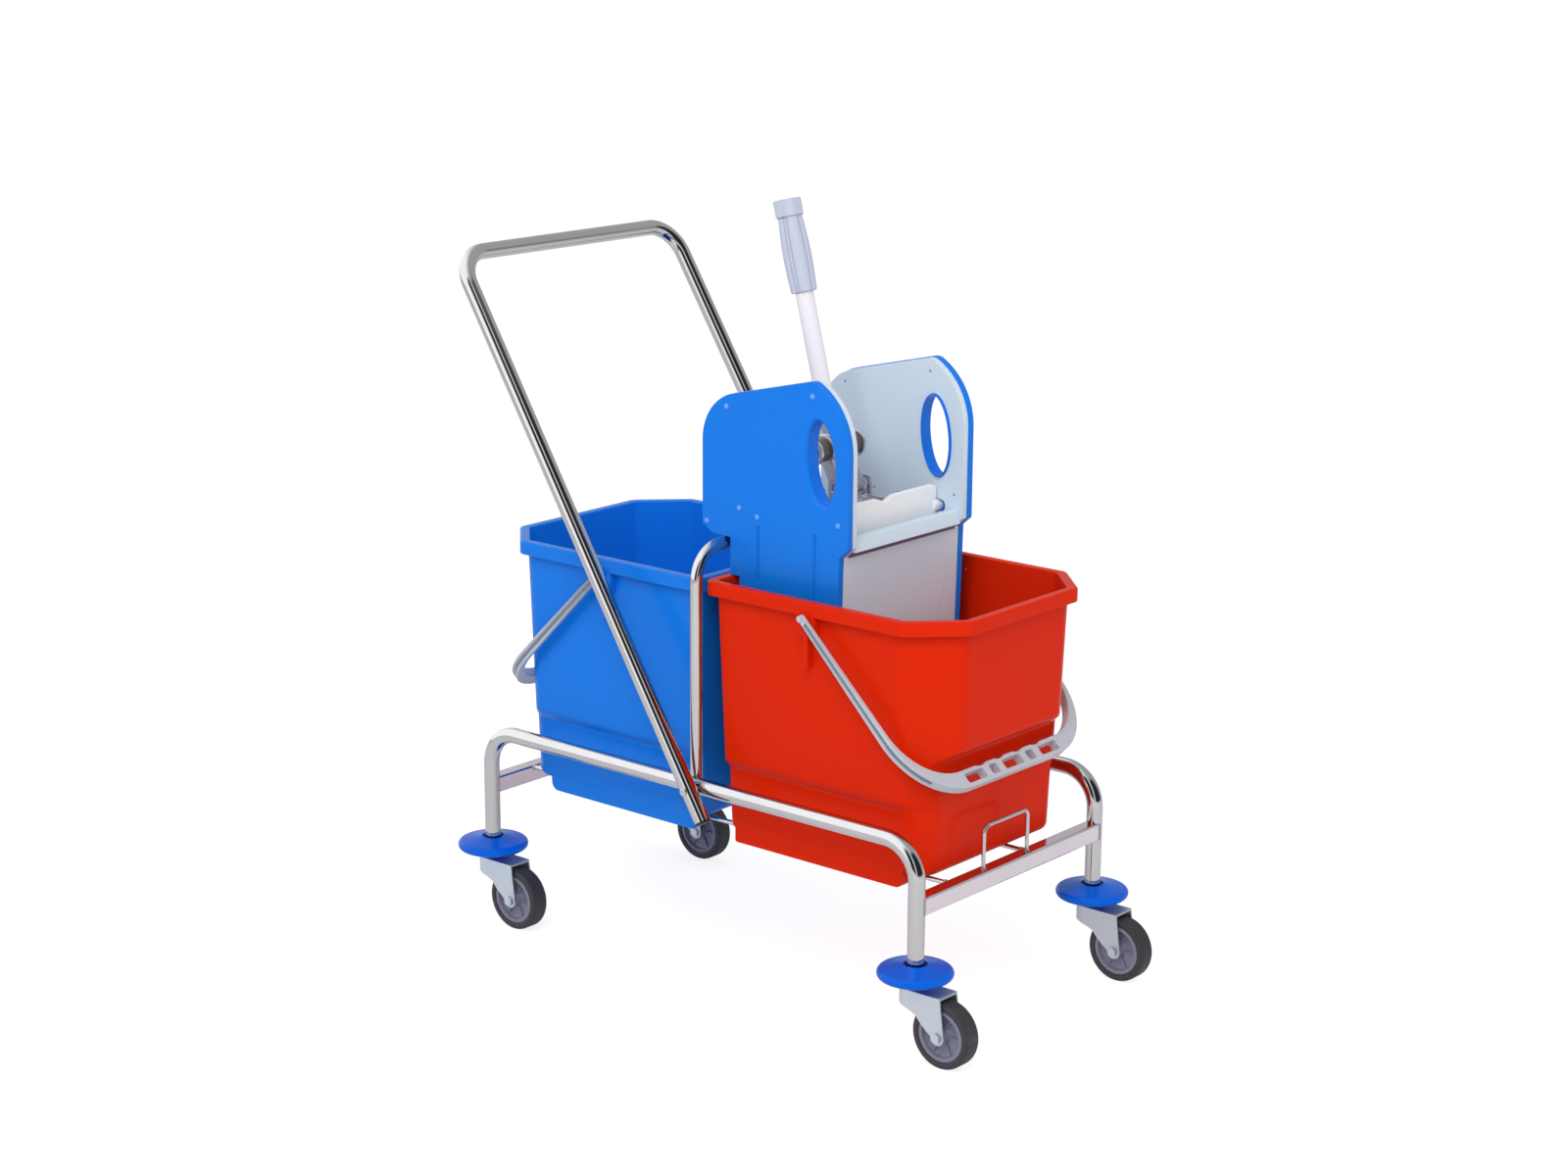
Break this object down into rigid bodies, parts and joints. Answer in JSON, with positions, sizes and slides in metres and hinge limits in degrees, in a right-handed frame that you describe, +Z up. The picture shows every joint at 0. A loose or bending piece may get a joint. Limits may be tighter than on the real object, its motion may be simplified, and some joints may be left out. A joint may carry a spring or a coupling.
{
  "type": "cleaning trolley",
  "caption": "Wheeled mopping trolley with a tube frame, push handle, lift-out buckets with bails, a lever press wringer and round corner bumpers.",
  "frame": {"origin": "on the floor under the middle of the whole trolley", "axes": "+X towards the front, where the red bucket is, +Y to the left as seen from behind the push handle, +Z up"},
  "size_m": [0.816, 0.447, 0.947],
  "materials": {
    "chrome_tube": "bright plated tube",
    "zinc_sheet": "bright zinc plated sheet",
    "steel": "plain machined steel",
    "blue_plastic": "smooth moulded plastic",
    "red_plastic": "smooth moulded plastic",
    "bail_plastic": "smooth moulded plastic",
    "pale_plastic": "satin moulded plastic",
    "grey_plastic": "satin moulded plastic",
    "white_plastic": "satin moulded plastic",
    "white_enamel": "white coated tube",
    "grip_plastic": "soft moulded grip",
    "dark_plastic": "black moulded plastic",
    "bumper_plastic": "smooth moulded plastic",
    "tyre_rubber": "solid grey rubber",
    "hub_plastic": "moulded wheel centre"
  },
  "bodies": {
    "frame": {"side_rail_right": "chrome_tube", "side_rail_left": "chrome_tube", "crossbar_front": "chrome_tube", "crossbar_rear": "chrome_tube", "bucket_rods": "chrome_tube", "bucket_stop": "chrome_tube", "push_handle": "chrome_tube", "handle_bolts": "chrome_tube", "handle_plugs": "dark_plastic", "arch": "chrome_tube", "bumper_front_right": "bumper_plastic", "bumper_front_left": "bumper_plastic", "bumper_rear_right": "bumper_plastic", "bumper_rear_left": "bumper_plastic", "caster_stem_front_right": "steel", "caster_stem_front_left": "steel", "caster_stem_rear_right": "steel", "caster_stem_rear_left": "steel"},
    "swivel_front_right": {"caster_fork_front_right": "zinc_sheet", "caster_axle_front_right": "steel"},
    "wheel_front_right": {"wheel_hub_front_right": "hub_plastic", "wheel_tyre_front_right": "tyre_rubber"},
    "swivel_front_left": {"caster_fork_front_left": "zinc_sheet", "caster_axle_front_left": "steel"},
    "wheel_front_left": {"wheel_hub_front_left": "hub_plastic", "wheel_tyre_front_left": "tyre_rubber"},
    "swivel_rear_right": {"caster_fork_rear_right": "zinc_sheet", "caster_axle_rear_right": "steel"},
    "wheel_rear_right": {"wheel_hub_rear_right": "hub_plastic", "wheel_tyre_rear_right": "tyre_rubber"},
    "swivel_rear_left": {"caster_fork_rear_left": "zinc_sheet", "caster_axle_rear_left": "steel"},
    "wheel_rear_left": {"wheel_hub_rear_left": "hub_plastic", "wheel_tyre_rear_left": "tyre_rubber"},
    "red_bucket": {"bucket_red": "red_plastic", "bail_pins_red": "bail_plastic"},
    "red_bail": {"bail_red": "bail_plastic"},
    "wringer": {"wringer_shell_right": "blue_plastic", "wringer_shell_left": "blue_plastic", "wringer_liner_right": "pale_plastic", "wringer_liner_left": "pale_plastic", "panel_screws": "blue_plastic", "wringer_front_plate": "grey_plastic", "wringer_front_lip": "pale_plastic", "wringer_back_plate": "grey_plastic", "wringer_floor": "grey_plastic", "pivot_bracket": "steel", "shaft_bush_right": "dark_plastic", "shaft_bush_left": "dark_plastic"},
    "lever": {"lever_hub": "steel", "lever_shaft": "steel", "crank_pin": "steel", "lever_tube": "white_enamel", "lever_grip": "grip_plastic"},
    "press": {"press_plate": "white_plastic", "press_yoke": "steel"},
    "blue_bucket": {"bucket_blue": "blue_plastic", "bail_pins_blue": "bail_plastic"},
    "blue_bail": {"bail_blue": "bail_plastic"}
  },
  "joints": [
    {"name": "swivel_front_right", "type": "hinge", "parent": "frame", "child": "swivel_front_right", "pos_m": [0.323, -0.1785, 0.088], "axis": [0, 0, 1], "continuous": true},
    {"name": "wheel_spin_front_right", "type": "hinge", "parent": "swivel_front_right", "child": "wheel_front_right", "pos_m": [0.368, -0.1785, 0.04], "axis": [0, 1, 0], "continuous": true},
    {"name": "swivel_front_left", "type": "hinge", "parent": "frame", "child": "swivel_front_left", "pos_m": [0.323, 0.1785, 0.088], "axis": [0, 0, 1], "continuous": true},
    {"name": "wheel_spin_front_left", "type": "hinge", "parent": "swivel_front_left", "child": "wheel_front_left", "pos_m": [0.368, 0.1785, 0.04], "axis": [0, 1, 0], "continuous": true},
    {"name": "swivel_rear_right", "type": "hinge", "parent": "frame", "child": "swivel_rear_right", "pos_m": [-0.363, -0.1785, 0.088], "axis": [0, 0, 1], "continuous": true},
    {"name": "wheel_spin_rear_right", "type": "hinge", "parent": "swivel_rear_right", "child": "wheel_rear_right", "pos_m": [-0.318, -0.1785, 0.04], "axis": [0, 1, 0], "continuous": true},
    {"name": "swivel_rear_left", "type": "hinge", "parent": "frame", "child": "swivel_rear_left", "pos_m": [-0.363, 0.1785, 0.088], "axis": [0, 0, 1], "continuous": true},
    {"name": "wheel_spin_rear_left", "type": "hinge", "parent": "swivel_rear_left", "child": "wheel_rear_left", "pos_m": [-0.318, 0.1785, 0.04], "axis": [0, 1, 0], "continuous": true},
    {"name": "red_bucket_lift", "type": "slide", "parent": "frame", "child": "red_bucket", "axis": [0.342, 0, 0.9397], "range_m": [0, 0.2]},
    {"name": "red_bail_hinge", "type": "hinge", "parent": "red_bucket", "child": "red_bail", "pos_m": [0.141, 0, 0.489], "axis": [0, -1, 0], "range_deg": [0, 122]},
    {"name": "wringer_lift", "type": "slide", "parent": "red_bucket", "child": "wringer", "axis": [0, 0, 1], "range_m": [0, 0.2]},
    {"name": "lever_hinge", "type": "hinge", "parent": "wringer", "child": "lever", "pos_m": [0.05, 0, 0.652], "axis": [0, 1, 0], "range_deg": [0, 60]},
    {"name": "press_slide", "type": "slide", "parent": "wringer", "child": "press", "axis": [-1, 0, 0], "range_m": [0, 0.0554]},
    {"name": "blue_bucket_lift", "type": "slide", "parent": "frame", "child": "blue_bucket", "axis": [-0.6691, 0, 0.7431], "range_m": [0, 0.15]},
    {"name": "blue_bail_hinge", "type": "hinge", "parent": "blue_bucket", "child": "blue_bail", "pos_m": [-0.181, 0, 0.489], "axis": [0, 1, 0], "range_deg": [0, 134]}
  ],
  "couplings": [
    {"joint": "press_slide", "follows": "lever_hinge", "m_per_rad": 0.0529}
  ]
}
